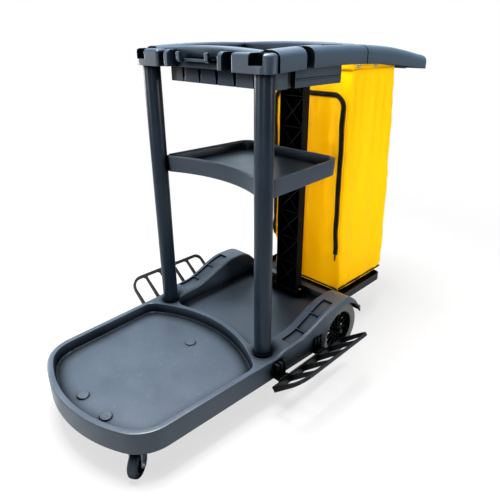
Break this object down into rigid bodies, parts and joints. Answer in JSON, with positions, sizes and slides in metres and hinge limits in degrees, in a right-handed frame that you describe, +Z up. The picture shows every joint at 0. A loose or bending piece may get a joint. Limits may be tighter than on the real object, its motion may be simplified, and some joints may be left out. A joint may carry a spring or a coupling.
{
  "type": "housekeeping cart",
  "caption": "Moulded janitor's cart with a bucket platform, shelf, top bin with tool slots, fold-down side racks, large rear wheels, swivel casters and a zipped vinyl bag.",
  "frame": {"origin": "middle of the floor area the cart covers, on the floor", "axes": "+Z up, front tray towards -Y, bag and push handle towards +Y, +X to the right seen from the front"},
  "size_m": [0.8238, 1.253, 1.0011],
  "materials": {
    "slate_plastic": "fine-textured moulding",
    "black_plastic": "satin moulding",
    "hub_plastic": "satin moulding",
    "caster_rubber": "smooth",
    "tyre": "smooth non-marking grey",
    "zinc_steel": "zinc plated",
    "bag_vinyl": "coated vinyl cloth",
    "zip_tape": "woven tape"
  },
  "bodies": {
    "cart": {"base_platform": "slate_plastic", "floor_plugs": "slate_plastic", "front_post_left": "slate_plastic", "front_post_right": "slate_plastic", "post_collars": "black_plastic", "rear_column": "black_plastic", "column_foot": "black_plastic", "column_bolts": "zinc_steel", "shelf_tray": "slate_plastic", "shelf_bracket": "black_plastic", "front_beam": "slate_plastic", "side_rail_left": "slate_plastic", "side_rail_right": "slate_plastic", "rear_crossbar": "slate_plastic", "top_bin": "slate_plastic", "push_handle": "slate_plastic", "bag_hooks": "zinc_steel", "vinyl_bag": "bag_vinyl", "bag_zip": "zip_tape", "bag_tray": "black_plastic", "tray_brackets": "black_plastic", "rear_axle": "zinc_steel", "axle_brackets": "black_plastic", "axle_caps": "black_plastic", "caster_plate_left": "zinc_steel", "caster_plate_right": "zinc_steel", "caster_bolts": "zinc_steel", "rack_brackets": "black_plastic", "hinge_rod_left": "zinc_steel", "hinge_rod_right": "zinc_steel"},
    "rear_wheel_left": {"wheel_rim_left": "black_plastic", "tyre_left": "tyre"},
    "rear_wheel_right": {"wheel_rim_right": "black_plastic", "tyre_right": "tyre"},
    "caster_swivel_left": {"caster_fork_left": "zinc_steel", "caster_axle_left": "zinc_steel"},
    "caster_swivel_right": {"caster_fork_right": "zinc_steel", "caster_axle_right": "zinc_steel"},
    "caster_wheel_left": {"caster_hub_left": "hub_plastic", "caster_tread_left": "caster_rubber"},
    "caster_wheel_right": {"caster_hub_right": "hub_plastic", "caster_tread_right": "caster_rubber"},
    "rack_left": {"mop_rack_left": "black_plastic"},
    "rack_right": {"mop_rack_right": "black_plastic"},
    "zip_pull": {"zip_slider": "zinc_steel"}
  },
  "joints": [
    {"name": "rear_wheel_spin_left", "type": "hinge", "parent": "cart", "child": "rear_wheel_left", "pos_m": [-0.25, 0.2155, 0.1], "axis": [1, 0, 0], "continuous": true},
    {"name": "rear_wheel_spin_right", "type": "hinge", "parent": "cart", "child": "rear_wheel_right", "pos_m": [0.25, 0.2155, 0.1], "axis": [1, 0, 0], "continuous": true},
    {"name": "caster_swivel_left_turn", "type": "hinge", "parent": "cart", "child": "caster_swivel_left", "pos_m": [-0.174, -0.5195, 0.09], "axis": [0, 0, 1], "continuous": true},
    {"name": "caster_roll_left", "type": "hinge", "parent": "caster_swivel_left", "child": "caster_wheel_left", "pos_m": [-0.15712, -0.5455, 0.0375], "axis": [0.8387, 0.5446, 0], "continuous": true},
    {"name": "caster_swivel_right_turn", "type": "hinge", "parent": "cart", "child": "caster_swivel_right", "pos_m": [0.174, -0.5195, 0.09], "axis": [0, 0, 1], "continuous": true},
    {"name": "caster_roll_right", "type": "hinge", "parent": "caster_swivel_right", "child": "caster_wheel_right", "pos_m": [0.19088, -0.5455, 0.0375], "axis": [0.8387, 0.5446, 0], "continuous": true},
    {"name": "rack_fold_left", "type": "hinge", "parent": "cart", "child": "rack_left", "pos_m": [-0.298, -0.0185, 0.106], "axis": [0, 1, 0], "range_deg": [0, 53]},
    {"name": "rack_fold_right", "type": "hinge", "parent": "cart", "child": "rack_right", "pos_m": [0.298, -0.0185, 0.106], "axis": [0, -1, 0], "range_deg": [0, 53]},
    {"name": "zip_slide", "type": "slide", "parent": "cart", "child": "zip_pull", "axis": [-0.0199, 0, 0.9998], "range_m": [0, 0.48]}
  ]
}
